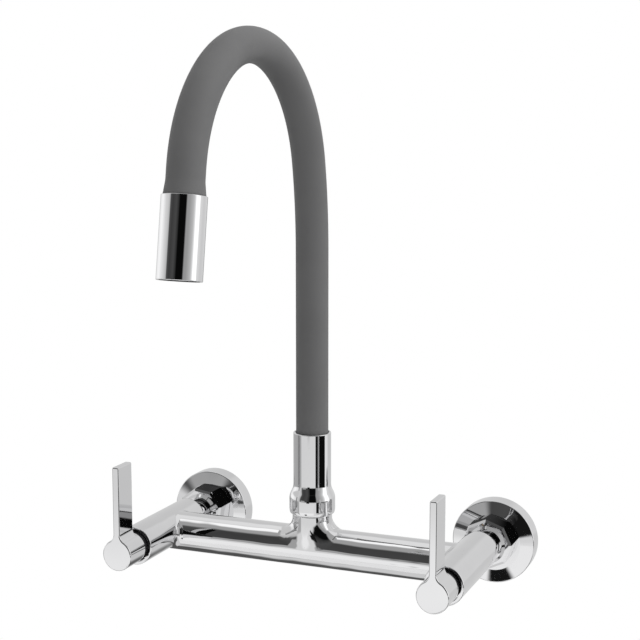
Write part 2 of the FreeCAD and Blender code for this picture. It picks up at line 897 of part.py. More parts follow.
def centreline(start, end):
    """The centreline between two lengths, as straight runs joined by tangent arcs."""
    edges = []
    station = 0.0
    for length, radius in gooseneck_runs():
        first, last = max(start, station), min(end, station + length)
        station += length
        if last - first < match_tolerance:
            continue
        if radius == 0:
            edges.append(Part.makeLine(point_at(first), point_at(last)))
        else:
            edges.append(Part.Arc(point_at(first), point_at((first + last) / 2), point_at(last)).toShape())
    return Part.Wire(edges)


def tube(bore, radius, start, end):
    """A hollow tube along the centreline, with its volume compared with section times length."""
    path = centreline(start, end)
    pipes = []
    for wall in (radius, bore):
        circle = Part.Wire(Part.makeCircle(wall, point_at(start), direction_at(start)))
        pipes.append(path.makePipeShell([circle], True, False))
    solid = pipes[0].cut(pipes[1])
    expected = math.pi * (radius**2 - bore**2) * (end - start)
    print("tube volume over section times length: %.4f" % (solid.Volume / expected))
    return solid


coil_end = sum(length for length, _ in gooseneck_runs())
gooseneck_length = coil_end - head_reach
outlet_start = gooseneck_length - outlet_run
rear_bend_end = gooseneck_runs()[0][0] + gooseneck_runs()[1][0]
rear_bend_start = rear_bend_end - rear_bend_length
front_bend_start = outlet_start - front_bend_length


def sleeve_part(start, end):
    return tube(sleeve_bore_radius, sleeve_radius, start, end)


def sleeve_riser():
    return sleeve_part(sleeve_base - fitting_cup_base, rear_bend_start)


def sleeve_rear_bend():
    return sleeve_part(rear_bend_start, rear_bend_end - seat_clearance)


def sleeve_crown():
    return sleeve_part(rear_bend_end, front_bend_start)


def sleeve_front_bend():
    return sleeve_part(front_bend_start + seat_clearance, outlet_start)


def sleeve_outlet():
    """The sleeve's last stretch, which widens towards the bell."""
    flare_start = outlet_run - sleeve_flare_length
    outline = [
        (sleeve_bore_radius, 0),
        (sleeve_radius, 0),
        (sleeve_radius, flare_start),
        (sleeve_flare_radius, outlet_run - seat_clearance),
        (sleeve_bore_radius, outlet_run - seat_clearance),
    ]
    return turned(outline, point_at(outlet_start), direction_at(outlet_start))


def gooseneck_coil():
    return tube(coil_bore_radius, coil_radius, seat_clearance, coil_end - seat_clearance)


def inner_hose():
    return tube(inner_hose_bore_radius, inner_hose_radius, seat_clearance, coil_end - seat_clearance)


# Spout head, turned about the outlet's straight run

head_axis = point_at(gooseneck_length)
head_direction = direction_at(gooseneck_length)
bell_bore_radius = bell_radius - bell_wall
head_flange_radius = bell_bore_radius - running_clearance
head_flange_end = head_reach + head_flange_thickness
aerator_end = bell_length - aerator_recess
aerator_start = aerator_end - aerator_length
aerator_bore_radius = head_flange_radius - aerator_wall
screen_end = aerator_end - aerator_lip


def spout_bell():
    outline = [
        (coil_radius + slip_clearance, 0),
        (bell_radius, 0),
        (bell_radius, bell_length),
        (bell_bore_radius, bell_length),
        (bell_bore_radius, bell_top_wall),
        (coil_radius + slip_clearance, bell_top_wall),
    ]
    solid = turned(outline, head_axis, head_direction)
    rims = circle_edges(solid, bell_radius, head_axis)
    rims += circle_edges(solid, bell_radius, head_axis + head_direction * bell_length)
    return solid.makeFillet(bell_rim_round, rims)


def upper_hose_fitting():
    """A cup for the metal core's end, a barb for the water hose, and a nozzle towards the aerator."""
    cup_start = bell_top_wall + seat_clearance
    outline = [
        (cup_radius, cup_start),
        (fitting_radius, cup_start),
        (fitting_radius, head_reach),
        (head_flange_radius, head_reach),
        (head_flange_radius, head_flange_end),
        (head_nozzle_radius, head_flange_end),
        (head_nozzle_radius, head_flange_end + head_nozzle_length),
        (fitting_bore_radius, head_flange_end + head_nozzle_length),
        (fitting_bore_radius, head_reach - barb_length),
        (barb_radius, head_reach - barb_length),
        (barb_radius, head_reach),
        (cup_radius, head_reach),
    ]
    return turned(outline, head_axis, head_direction)


def aerator_washer():
    start = aerator_start - aerator_washer_thickness
    return ring(aerator_bore_radius, head_flange_radius, start, aerator_start, head_axis, head_direction)


def aerator_housing():
    lip_bore = aerator_bore_radius - aerator_lip
    outline = [
        (aerator_bore_radius, aerator_start),
        (head_flange_radius, aerator_start),
        (head_flange_radius, aerator_end),
        (lip_bore, aerator_end),
        (lip_bore, screen_end),
        (aerator_bore_radius, screen_end),
    ]
    return turned(outline, head_axis, head_direction)


def aerator_screen():
    """A disc pierced by round holes on a hexagonal grid."""
    radius = aerator_bore_radius - running_clearance
    screen = rod(radius, screen_end - screen_thickness, screen_end, head_axis, head_direction)
    turn = FreeCAD.Rotation(UP, head_direction)
    row_pitch = screen_hole_pitch * math.sqrt(3) / 2
    rows = int(radius / row_pitch)
    hole_start = screen_end - screen_thickness - cut_overshoot
    hole_end = screen_end + cut_overshoot
    holes = []
    for row in range(-rows, rows + 1):
        for column in range(-2 * rows, 2 * rows + 1):
            across = screen_hole_pitch * (column + (row % 2) / 2)
            spot = FreeCAD.Vector(across, row * row_pitch, 0)
            if spot.Length < radius - aerator_lip - 2 * screen_hole_radius:
                centre = head_axis + turn.multVec(spot)
                holes.append(rod(screen_hole_radius, hole_start, hole_end, centre, head_direction))
    return screen.cut(holes)


SIDE_PIECES = (
    flange,
    wall_connector,
    union_nut,
    inlet_washer,
    tail_nipple,
    cartridge_body,
    cartridge_o_ring,
    seat_seal,
    fixed_disc,
    moving_disc,
    spindle,
    spindle_o_ring,
    stop_ring,
    handle,
    grub_screw,
)

MIDDLE_PIECES = (
    body_casting,
    thrust_washer,
    spout_screw,
    spout_tail,
    tail_o_rings,
    ferrule,
    lower_hose_fitting,
    sleeve_riser,
    sleeve_rear_bend,
    sleeve_crown,
    sleeve_front_bend,
    sleeve_outlet,
    gooseneck_coil,
    inner_hose,
    upper_hose_fitting,
    spout_bell,
    aerator_washer,
    aerator_housing,
    aerator_screen,
)

os.makedirs("parts", exist_ok=True)
for piece in MIDDLE_PIECES:
    piece().exportStep("parts/%s.step" % piece.__name__)
for side in SIDES:
    for piece in SIDE_PIECES:
        piece(side).exportStep("parts/%s_%s.step" % (side, piece.__name__))

rear_pivot = point_at((rear_bend_start + rear_bend_end) / 2)
front_pivot = point_at((front_bend_start + outlet_start) / 2)
for label, spot in (("rear bend", rear_pivot), ("front bend", front_pivot), ("bell top", head_axis)):
    print("%s at y %.2f, z %.2f" % (label, spot.y, spot.z))
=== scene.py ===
import json
import math

import bpy
import numpy as np
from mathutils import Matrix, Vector


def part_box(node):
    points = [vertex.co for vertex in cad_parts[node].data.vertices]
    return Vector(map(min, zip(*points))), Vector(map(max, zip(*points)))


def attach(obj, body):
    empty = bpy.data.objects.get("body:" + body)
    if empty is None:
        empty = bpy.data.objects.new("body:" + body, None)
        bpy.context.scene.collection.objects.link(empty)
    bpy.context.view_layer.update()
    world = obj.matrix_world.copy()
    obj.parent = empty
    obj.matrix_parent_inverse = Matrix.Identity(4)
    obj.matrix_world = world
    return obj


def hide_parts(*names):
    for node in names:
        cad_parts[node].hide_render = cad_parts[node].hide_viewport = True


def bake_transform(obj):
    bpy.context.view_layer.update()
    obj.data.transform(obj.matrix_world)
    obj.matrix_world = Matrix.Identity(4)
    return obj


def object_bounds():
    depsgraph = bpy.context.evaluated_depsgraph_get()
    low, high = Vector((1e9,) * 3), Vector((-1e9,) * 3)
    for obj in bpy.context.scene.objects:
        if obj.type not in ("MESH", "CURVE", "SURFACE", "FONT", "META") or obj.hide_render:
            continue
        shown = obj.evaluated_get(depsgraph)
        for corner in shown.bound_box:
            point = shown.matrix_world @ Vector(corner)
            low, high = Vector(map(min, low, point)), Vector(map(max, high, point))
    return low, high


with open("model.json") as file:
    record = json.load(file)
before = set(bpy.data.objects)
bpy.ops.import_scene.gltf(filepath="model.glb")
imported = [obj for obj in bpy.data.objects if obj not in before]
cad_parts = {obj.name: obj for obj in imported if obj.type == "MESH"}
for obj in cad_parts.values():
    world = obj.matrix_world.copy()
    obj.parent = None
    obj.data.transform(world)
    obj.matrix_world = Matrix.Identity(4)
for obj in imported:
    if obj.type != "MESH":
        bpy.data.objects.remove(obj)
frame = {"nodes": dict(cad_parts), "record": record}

# A wall-mounted kitchen mixer tap: chrome body, levers, ferrule and bell, and a gooseneck in grey silicone.
# Metres. +X runs right along the bar, +Y into the wall, +Z up, and the origin lies on the wall face.

cad_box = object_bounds()
MM = 0.001

# Camera, taken from the photograph's viewing angle
CAMERA_PLACE = (0.3256, -0.8546, 0.2657)
CAMERA_AZIMUTH = 22.2
CAMERA_ELEVATION = 8.1
CAMERA_LENS = 79.206
CAMERA_SENSOR = 36.0
CAMERA_NEAR_CLIP = 0.01

# Gooseneck centreline: a straight riser, three tangent arcs as (radius, degrees), a straight outlet run
RISER_TOP = 187.9 * MM
SWEEPS = ((265.0 * MM, 11.6), (80.7 * MM, 127.3), (73.8 * MM, 31.9))
OUTLET_RUN = 12.9 * MM
HEAD_REACH = 10.0 * MM
CROWN_TOP_LEAN = 90.0

# Sleeve, support coil and water hose
SLEEVE_RADIUS = 9.95 * MM
SLEEVE_BORE = 7.9 * MM
SLEEVE_FLARE_RADIUS = 10.85 * MM
SLEEVE_FLARE_LENGTH = 7.2 * MM
SLEEVE_EDGE_ROUND = 0.35 * MM
COIL_RADIUS = 7.6 * MM
COIL_BORE = 6.2 * MM
COIL_PITCH = 2.8 * MM
COIL_WIRE_DEPTH = 0.7 * MM
HOSE_RADIUS = 5.8 * MM
HOSE_BORE = 4.1 * MM
SEAT_GAP = 0.02 * MM

# How finely the pieces are divided: columns round a ring, and lengths or rings along it
SLEEVE_COLUMNS = 96
SLEEVE_STEP = 1.2 * MM
COIL_COLUMNS = 24
COIL_RINGS_PER_TURN = 7
HOSE_COLUMNS = 32
HOSE_STEP = 3.0 * MM
BORE_STEP = 4.0 * MM
EDGE_RINGS = 5
THREAD_COLUMNS = 72
THREAD_RINGS_PER_TURN = 12
SHARP_ANGLE = 40.0

# Wall connectors: pipe threads of 14 turns to the inch at both ends of an eccentric body
THREAD_PITCH = 25.4 / 14 * MM
THREAD_DEPTH = 1.16 * MM
THREAD_SHARPNESS = 0.97
THREAD_RUN_OUT = 2.5 * MM
WALL_THREAD_RADIUS = 10.48 * MM
UNION_THREAD_RADIUS = 13.2 * MM
UNION_RISE = 2.6 * MM
CONNECTOR_RADIUS = 14.0 * MM
CONNECTOR_BACK = -2.0 * MM
CONNECTOR_FRONT = -9.0 * MM
CONNECTOR_BORE = 7.0 * MM
CONNECTOR_EDGE = 0.4 * MM

# Depth of the slow waves in the plating
PLATING_WAVE_DEPTH = 0.012 * MM
CASTING_WAVE_DEPTH = 0.9 * MM

# Stage
FLOOR_DROP = 0.35
FLOOR_HALF_WIDTH = 0.8
FLOOR_FRONT = -0.5
FLOOR_BACK = -0.22
FLOOR_COLOUR = (0.93, 0.93, 0.93, 1.0)
FLOOR_GLOW_SHARE = 0.62
KEY_AZIMUTH = 75.0
KEY_ELEVATION = 46.0
KEY_STRENGTH = 2.2
KEY_SPREAD = 110.0


# Gooseneck pieces

coil_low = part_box("gooseneck_coil")[0]
riser_low, riser_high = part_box("sleeve_riser")
line_distance = -(riser_low.y + riser_high.y) / 2
line_base = coil_low.z - SEAT_GAP
sleeve_start = riser_low.z - line_base
runs = [(RISER_TOP - line_base, None)]
runs += [(radius * math.radians(angle), radius) for radius, angle in SWEEPS]
runs += [(OUTLET_RUN + HEAD_REACH, None)]
coil_end = sum(length for length, _ in runs)
sleeve_end = coil_end - HEAD_REACH
rear_bend_end = runs[0][0] + runs[1][0]
crown_top = rear_bend_end + SWEEPS[1][0] * math.radians(CROWN_TOP_LEAN - SWEEPS[0][1])


def line_at(stations):
    """Points on the gooseneck's centreline, and the lean there from upright, at lengths from its base.

    A straight run adds its length along the lean. An arc adds its radius times the fall in the lean's
    cosine, out from the wall, and its radius times the rise in the lean's sine, upwards.
    """
    left = np.array(stations, float)
    distance = np.full(left.shape, line_distance)
    height = np.full(left.shape, line_base)
    lean = np.zeros(left.shape)
    for length, radius in runs:
        step = np.clip(left, 0.0, length)
        if radius is None:
            distance = distance + step * np.sin(lean)
            height = height + step * np.cos(lean)
        else:
            end = lean + step / radius
            distance = distance + radius * (np.cos(lean) - np.cos(end))
            height = height + radius * (np.sin(end) - np.sin(lean))
            lean = end
        left = left - length
    points = np.stack([np.zeros_like(distance), -distance, height], axis=-1)
    return points, lean


def rings_along_line(name, stations, radii, around):
    """A closed surface of rings set across the gooseneck's centreline."""
    points, lean = line_at(stations)
    normal = np.stack([np.zeros_like(lean), np.cos(lean), np.sin(lean)], axis=-1)
    return ring_surface(name, points, normal, stations, radii, around)


def ring_surface(name, points, normal, stations, radii, around):
    """A closed surface of rings round the points, each joined to the next and the last to the first.

    A ring is its point plus its radius times the cosine of the turn along X and the sine of the turn
    along the normal there. Radii may differ round a ring.
    """
    turn = np.linspace(0.0, 2 * math.pi, around, endpoint=False)
    across = np.array([1.0, 0.0, 0.0])
    spokes = np.cos(turn)[None, :, None] * across + np.sin(turn)[None, :, None] * normal[:, None, :]
    vertices = points[:, None, :] + radii[:, :, None] * spokes
    ring, column = np.meshgrid(np.arange(len(points)), np.arange(around), indexing="ij")
    next_ring = (ring + 1) % len(points)
    next_column = (column + 1) % around
    corners = ((ring, column), (ring, next_column), (next_ring, next_column), (next_ring, column))
    faces = np.stack([a * around + b for a, b in corners], axis=-1).reshape(-1, 4)
    mesh = bpy.data.meshes.new(name)
    mesh.from_pydata(vertices.reshape(-1, 3).tolist(), [], faces.tolist())
    lengths = np.asarray(stations, float)
    u_corners = (column, column + 1, column + 1, column)
    v_corners = (ring, ring, next_ring, next_ring)
    u = np.stack([c / around for c in u_corners], axis=-1)
    v = np.stack([lengths[r] for r in v_corners], axis=-1)
    layer = mesh.uv_layers.new(name="along_and_around")
    layer.data.foreach_set("uv", np.stack([u, v], axis=-1).astype(np.float32).ravel())
    mesh.polygons.foreach_set("use_smooth", np.ones(len(mesh.polygons), bool))
    mesh.set_sharp_from_angle(angle=math.radians(SHARP_ANGLE))
    piece = bpy.data.objects.new(name, mesh)
    bpy.context.scene.collection.objects.link(piece)
    return piece


def round_each(lists, around):
    """Lists of radii in one, each radius repeated round its ring where a list gives only one for a ring."""
    return np.concatenate([np.broadcast_to(np.reshape(r, (len(r), -1)), (len(r), around)) for r in lists])


def rounded_end(station, radius, bore, edge, towards):
    """The (stations, radii) of a tube's end, from its outer wall to its bore, with quarter-round edges.

    Each edge is a quarter circle: its station runs to the end with the sine of the turn, and its radius
    falls by the edge radius less its cosine. Towards is +1 at the far end and -1 at the near end.
    """
    turn = np.linspace(0.0, math.pi / 2, EDGE_RINGS)
    back = edge * (1 - np.sin(turn))
    side = edge * (1 - np.cos(turn))
    outer = (station - towards * back, radius - side)
    inner = (outer[0][::-1], bore + side[::-1])
    return np.concatenate([outer[0], inner[0]]), np.concatenate([outer[1], inner[1]])


def square_end(station, radius, bore):
    """The (stations, radii) of a tube's end cut square, from its outer wall to its bore."""
    return np.array([station, station]), np.array([radius, bore])


def wall_stations(start, end, step):
    """Evenly spaced lengths between a tube's two ends, which the ends themselves bring."""
    count = max(3, int(round((end - start) / step)) + 1)
    return np.linspace(start, end, count)[1:-1]


def flared(stations):
    """The sleeve's outer radius: constant, then growing evenly to the flare's over the last stretch."""
    share = np.clip((stations - (sleeve_end - SLEEVE_FLARE_LENGTH)) / SLEEVE_FLARE_LENGTH, 0.0, 1.0)
    return SLEEVE_RADIUS + (SLEEVE_FLARE_RADIUS - SLEEVE_RADIUS) * share


def tube_piece(name, near, far, outer, outer_radii, bore, around):
    """A tube from its ends and its outer wall, each as (stations, radii) of rings.

    The rings run along the outer wall, round the far end, back through the bore and round the near end.
    """
    bore_stations = wall_stations(near[0][0], far[0][0], BORE_STEP)[::-1]
    stations = np.concatenate([outer, far[0], bore_stations, near[0][::-1]])
    bore_radii = np.full(bore_stations.shape, bore)
    radii = round_each([outer_radii, far[1], bore_radii, near[1][::-1]], around)
    return rings_along_line(name, stations, radii, around)


def sleeve_half(name, start, end):
    """One half of the silicone sleeve, cut square at the crown's top and rounded at its fitting's end."""
    near = square_end(start, SLEEVE_RADIUS, SLEEVE_BORE)
    far = square_end(end, SLEEVE_RADIUS, SLEEVE_BORE)
    if start < crown_top:
        near = rounded_end(start, SLEEVE_RADIUS, SLEEVE_BORE, SLEEVE_EDGE_ROUND, -1)
    if end > crown_top:
        far = rounded_end(end, SLEEVE_FLARE_RADIUS, SLEEVE_BORE, SLEEVE_EDGE_ROUND, 1)
    outer = wall_stations(near[0][0], far[0][0], SLEEVE_STEP)
    return tube_piece(name, near, far, outer, flared(outer), SLEEVE_BORE, SLEEVE_COLUMNS)


def coil_half(name, start, end):
    """One half of the wound support coil.

    Its outer wall dips between turns: the radius falls by the wire depth times one less the size of the
    sine of half the phase, and the phase is a turn for each pitch along the line, less the turn round it.
    """
    near = square_end(start, COIL_RADIUS - COIL_WIRE_DEPTH, COIL_BORE)
    far = square_end(end, COIL_RADIUS - COIL_WIRE_DEPTH, COIL_BORE)
    outer = wall_stations(start, end, COIL_PITCH / COIL_RINGS_PER_TURN)
    turn = np.linspace(0.0, 1.0, COIL_COLUMNS, endpoint=False)
    phase = outer[:, None] / COIL_PITCH - turn[None, :]
    radii = COIL_RADIUS - COIL_WIRE_DEPTH * (1 - np.abs(np.sin(math.pi * phase)))
    return tube_piece(name, near, far, outer, radii, COIL_BORE, COIL_COLUMNS)


def hose_half(name, start, end):
    """One half of the water hose inside the coil, a plain tube."""
    near = square_end(start, HOSE_RADIUS, HOSE_BORE)
    far = square_end(end, HOSE_RADIUS, HOSE_BORE)
    outer = wall_stations(start, end, HOSE_STEP)
    return tube_piece(name, near, far, outer, np.full(outer.shape, HOSE_RADIUS), HOSE_BORE, HOSE_COLUMNS)


def fit_gooseneck(rear, front, slot, rear_nodes, front_nodes):
    """Fixes both halves where they stand, hides the nodes that they take the place of, and gives both the
    slot's finish.
    """
    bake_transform(rear)
    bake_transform(front)
    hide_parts(*rear_nodes)
    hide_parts(*front_nodes)
    for piece in (rear, front):
        piece.data.materials.append(finishes[slot])


# Wall connectors


def thread_rings(free_end, shoulder, crest):
    """The (places along Y, radii) of an outside thread, from its free end to its shoulder.

    The radius falls from the crest by half the depth times one less a rounded triangle wave of the phase,
    which is a turn for each pitch along Y and one for each turn round it, right-handed at either end. A
    bevel at 45 degrees rises from the root at the free end, and the groove runs out before the shoulder.
    """
    length = abs(shoulder - free_end)
    inwards = np.sign(shoulder - free_end)
    along = np.linspace(0.0, length, int(round(length / THREAD_PITCH * THREAD_RINGS_PER_TURN)) + 1)
    turn = np.linspace(0.0, 1.0, THREAD_COLUMNS, endpoint=False)
    phase = along[:, None] / THREAD_PITCH + inwards * turn[None, :]
    wave = np.arcsin(THREAD_SHARPNESS * np.cos(2 * math.pi * phase)) / math.asin(THREAD_SHARPNESS)
    left = np.clip((length - along) / THREAD_RUN_OUT, 0.0, 1.0)[:, None]
    radii = crest - THREAD_DEPTH / 2 * (1 - wave) * left
    bevel = crest - THREAD_DEPTH + along[:, None]
    return free_end + inwards * along, np.minimum(radii, bevel)


def threaded_connector(side):
    """An eccentric connector with both its threads cut, in place of the plain node.

    Its rings run from the wall end along the outside to the front, and back through the bore. Their centres
    rise by half the offset from the wall thread to the body, and by the other half to the front thread.
    """
    node = side + "_wall_connector"
    low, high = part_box(node)
    wall_end, front_end = high.y, low.y
    half_way = (CONNECTOR_BACK + CONNECTOR_FRONT) / 2
    body_edge = CONNECTOR_RADIUS - CONNECTOR_EDGE
    body_ends = (CONNECTOR_BACK - CONNECTOR_EDGE, CONNECTOR_FRONT + CONNECTOR_EDGE)
    wall_places, wall_radii = thread_rings(wall_end, CONNECTOR_BACK, WALL_THREAD_RADIUS)
    front_places, front_radii = thread_rings(front_end, CONNECTOR_FRONT, UNION_THREAD_RADIUS)
    bore = (CONNECTOR_BORE, CONNECTOR_BORE)
    stretches = (
        (wall_places, wall_radii, 0.0),
        (
            (CONNECTOR_BACK, *body_ends, CONNECTOR_FRONT),
            (body_edge, CONNECTOR_RADIUS, CONNECTOR_RADIUS, body_edge),
            UNION_RISE / 2,
        ),
        (front_places[::-1], front_radii[::-1], UNION_RISE),
        ((front_end, half_way), bore, UNION_RISE),
        ((half_way, wall_end), bore, 0.0),
    )
    places = np.concatenate([stretch[0] for stretch in stretches])
    radii = round_each([stretch[1] for stretch in stretches], THREAD_COLUMNS)
    rises = np.concatenate([np.full(len(stretch[0]), stretch[2]) for stretch in stretches])
    points = np.stack([np.full_like(places, (low.x + high.x) / 2), places, rises], axis=-1)
    normal = np.tile([0.0, 0.0, 1.0], (len(places), 1))
    piece = ring_surface(side + "_threaded_connector", points, normal, places, radii, THREAD_COLUMNS)
    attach(piece, "tap_body")
    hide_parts(node)
    piece.data.materials.append(finishes["brass"])


# Finishes. A Mix node keeps its number and colour sockets at these places.

MIX_FIRST_NUMBER = 2
MIX_SECOND_NUMBER = 3
MIX_FIRST_COLOUR = 6
MIX_SECOND_COLOUR = 7
MIX_COLOUR_RESULT = 2


def new_tree(name):
    """A node group for an effect that several finishes share."""
    return bpy.data.node_groups.new(name, "ShaderNodeTree")


def socket(tree, name, direction, kind="NodeSocketFloat", default=None):
    """A named input or output of a node group."""
    made = tree.interface.new_socket(name=name, in_out=direction, socket_type=kind)
    if default is not None:
        made.default_value = default


def add_node(tree, kind, **settings):
    """A node with its settings, where a key that names an input socket sets that socket's value."""
    node = tree.nodes.new(kind)
    for key, value in settings.items():
        name = key.replace("_", " ")
        if hasattr(node, key):
            setattr(node, key, value)
        else:
            next(s for s in node.inputs if s.name.lower() == name).default_value = value
    return node


def link_or_set(tree, value, target):
    """Feeds a socket from another one, or sets it to a number."""
    if isinstance(value, (int, float)):
        target.default_value = value
    else:
        tree.links.new(value, target)


def math_node(tree, operation, *values):
    """A Math node; each value is a number or the socket that feeds it."""
    node = add_node(tree, "ShaderNodeMath", operation=operation)
    for value, target in zip(values, node.inputs):
        link_or_set(tree, value, target)
    return node.outputs[0]


def ranged(tree, value, low, high, to_low, to_high):
    """A Map Range node that eases between two levels."""
    node = add_node(tree, "ShaderNodeMapRange", interpolation_type="SMOOTHSTEP")
    for key, number in zip(("From Min", "From Max", "To Min", "To Max"), (low, high, to_low, to_high)):
        link_or_set(tree, number, node.inputs[key])
    tree.links.new(value, node.inputs["Value"])
    return node.outputs["Result"]


def noise(tree, vector, scale, detail, roughness):
    """A noise over the surface, with that many cells to a metre."""
    node = add_node(tree, "ShaderNodeTexNoise", scale=scale, detail=detail, roughness=roughness)
    tree.links.new(vector, node.inputs["Vector"])
    return node.outputs["Fac"]


def make_handling_group():
    """Faint smears and dried specks, as a 0 to 1 mask that grows with both."""
    tree = new_tree("handling_marks")
    socket(tree, "Vector", "INPUT", "NodeSocketVector")
    socket(tree, "Smear Scale", "INPUT", default=60.0)
    socket(tree, "Speck Scale", "INPUT", default=900.0)
    socket(tree, "Marks", "OUTPUT")
    inside = add_node(tree, "NodeGroupInput")
    outside = add_node(tree, "NodeGroupOutput")
    smear = add_node(tree, "ShaderNodeTexNoise", detail=3.0, roughness=0.6)
    specks = add_node(tree, "ShaderNodeTexNoise", detail=1.0)
    for node, scale in ((smear, "Smear Scale"), (specks, "Speck Scale")):
        tree.links.new(inside.outputs["Vector"], node.inputs["Vector"])
        tree.links.new(inside.outputs[scale], node.inputs["Scale"])
    smear_mask = ranged(tree, smear.outputs["Fac"], 0.5, 0.72, 0.0, 0.8)
    speck_mask = ranged(tree, specks.outputs["Fac"], 0.68, 0.76, 0.0, 0.6)
    tree.links.new(math_node(tree, "MAXIMUM", smear_mask, speck_mask), outside.inputs["Marks"])
    return tree


def make_tint_group():
    """A colour that drifts between two tints as a slow noise changes over the surface."""
    tree = new_tree("slow_tint")
    socket(tree, "Vector", "INPUT", "NodeSocketVector")
    socket(tree, "Scale", "INPUT", default=40.0)
    socket(tree, "Light Tint", "INPUT", "NodeSocketColor")
    socket(tree, "Dark Tint", "INPUT", "NodeSocketColor")
    socket(tree, "Colour", "OUTPUT", "NodeSocketColor")
    inside = add_node(tree, "NodeGroupInput")
    outside = add_node(tree, "NodeGroupOutput")
    drift = add_node(tree, "ShaderNodeTexNoise", detail=4.0, roughness=0.55)
    tree.links.new(inside.outputs["Vector"], drift.inputs["Vector"])
    tree.links.new(inside.outputs["Scale"], drift.inputs["Scale"])
    mix = add_node(tree, "ShaderNodeMix", data_type="RGBA")
    tree.links.new(ranged(tree, drift.outputs["Fac"], 0.3, 0.7, 0.0, 1.0), mix.inputs["Factor"])
    tree.links.new(inside.outputs["Light Tint"], mix.inputs[MIX_FIRST_COLOUR])
    tree.links.new(inside.outputs["Dark Tint"], mix.inputs[MIX_SECOND_COLOUR])
    tree.links.new(mix.outputs[MIX_COLOUR_RESULT], outside.inputs["Colour"])
    return tree


def make_grain_group():
    """A moulded or ground skin: two noises added, as a height for bump."""
    tree = new_tree("skin_grain")
    socket(tree, "Vector", "INPUT", "NodeSocketVector")
    socket(tree, "Coarse Scale", "INPUT", default=300.0)
    socket(tree, "Fine Scale", "INPUT", default=2500.0)
    socket(tree, "Height", "OUTPUT")
    inside = add_node(tree, "NodeGroupInput")
    outside = add_node(tree, "NodeGroupOutput")
    heights = []
    for scale in ("Coarse Scale", "Fine Scale"):
        node = add_node(tree, "ShaderNodeTexNoise", detail=2.0, roughness=0.5)
        tree.links.new(inside.outputs["Vector"], node.inputs["Vector"])
        tree.links.new(inside.outputs[scale], node.inputs["Scale"])
        heights.append(node.outputs["Fac"])
    tree.links.new(math_node(tree, "ADD", *heights), outside.inputs["Height"])
    return tree


effects = {
    "handling": make_handling_group(),
    "tint": make_tint_group(),
    "grain": make_grain_group(),
}


class Finish:
    """A material with a Principled shader, Object coordinates and the shared effects."""

    def __init__(self, name, **sockets):
        self.material = bpy.data.materials.new(name)
        self.material.use_nodes = True
        self.tree = self.material.node_tree
        self.shader = self.tree.nodes["Principled BSDF"]
        self.place = add_node(self.tree, "ShaderNodeTexCoord").outputs["Object"]
        for key, value in sockets.items():
            self.shader.inputs[key.replace("_", " ")].default_value = value

    def effect(self, name, output, **values):
        """One output of a shared effect, placed in this finish with its own values."""
        node = add_node(self.tree, "ShaderNodeGroup", node_tree=effects[name])
        self.tree.links.new(self.place, node.inputs["Vector"])
        for key, value in values.items():
            node.inputs[key.replace("_", " ")].default_value = value
        return node.outputs[output]

    def feed(self, output, socket_name):
        self.tree.links.new(output, self.shader.inputs[socket_name])

    def tint(self, light, dark, scale):
        """A base colour that drifts between two tints."""
        colours = {"Light_Tint": (*light, 1.0), "Dark_Tint": (*dark, 1.0)}
        self.feed(self.effect("tint", "Colour", Scale=scale, **colours), "Base Color")

    def marks(self, clean, marked, **scales):
        """Roughness that rises from clean to marked where the surface has been handled."""
        mask = self.effect("handling", "Marks", **scales)
        self.feed(ranged(self.tree, mask, 0.0, 1.0, clean, marked), "Roughness")

    def relief(self, height, depth):
        """Bump of that depth in metres."""
        bump = add_node(self.tree, "ShaderNodeBump")
        bump.inputs["Distance"].default_value = depth
        self.tree.links.new(height, bump.inputs["Height"])
        self.feed(bump.outputs["Normal"], "Normal")


def chrome(name, wave_depth):
    """Bright plating: mirror smooth, with faint handling marks and the slow waves that buffing leaves."""
    finish = Finish(name, Metallic=1.0)
    finish.tint((0.72, 0.72, 0.725), (0.70, 0.70, 0.707), 25.0)
    finish.marks(0.03, 0.07)
    waves = noise(finish.tree, finish.place, 38.0, detail=1.0, roughness=0.4)
    finish.relief(waves, wave_depth)
    return finish.material


def brass(name, light, dark, clean, marked):
    """Turned brass, dulled a little by water."""
    finish = Finish(name, Metallic=1.0)
    finish.tint(light, dark, 90.0)
    finish.marks(clean, marked, Smear_Scale=120.0)
    finish.relief(finish.effect("grain", "Height", Coarse_Scale=700.0), 0.00002)
    return finish.material


def silicone():
    """Matt extruded silicone: a soft skin with fine grain and faint lengthwise draw lines."""
    finish = Finish("grey_silicone", Specular_IOR_Level=0.2, Sheen_Weight=0.03, Sheen_Roughness=0.4)
    finish.tint((0.130, 0.130, 0.131), (0.123, 0.123, 0.124), 30.0)
    finish.marks(0.55, 0.68, Smear_Scale=45.0, Speck_Scale=1400.0)
    finish.relief(finish.effect("grain", "Height", Coarse_Scale=600.0, Fine_Scale=4000.0), 0.00003)
    return finish.material


def rubber(name, light, dark):
    """Moulded rubber with a dusty matt skin."""
    finish = Finish(name, Specular_IOR_Level=0.35)
    finish.tint(light, dark, 120.0)
    finish.marks(0.6, 0.8)
    finish.relief(finish.effect("grain", "Height", Coarse_Scale=500.0), 0.00003)
    return finish.material


def steel():
    """Satin stainless steel wire, mesh and screws."""
    finish = Finish("satin_steel", Metallic=1.0)
    finish.tint((0.58, 0.58, 0.59), (0.48, 0.48, 0.49), 150.0)
    finish.marks(0.26, 0.4)
    finish.relief(finish.effect("grain", "Height", Coarse_Scale=900.0), 0.00001)
    return finish.material


def ceramic():
    """Lapped ceramic discs: off-white, smooth, faintly clouded."""
    finish = Finish("lapped_ceramic")
    finish.tint((0.86, 0.85, 0.82), (0.80, 0.79, 0.76), 200.0)
    finish.marks(0.12, 0.25)
    finish.relief(finish.effect("grain", "Height", Coarse_Scale=1500.0), 0.000005)
    return finish.material


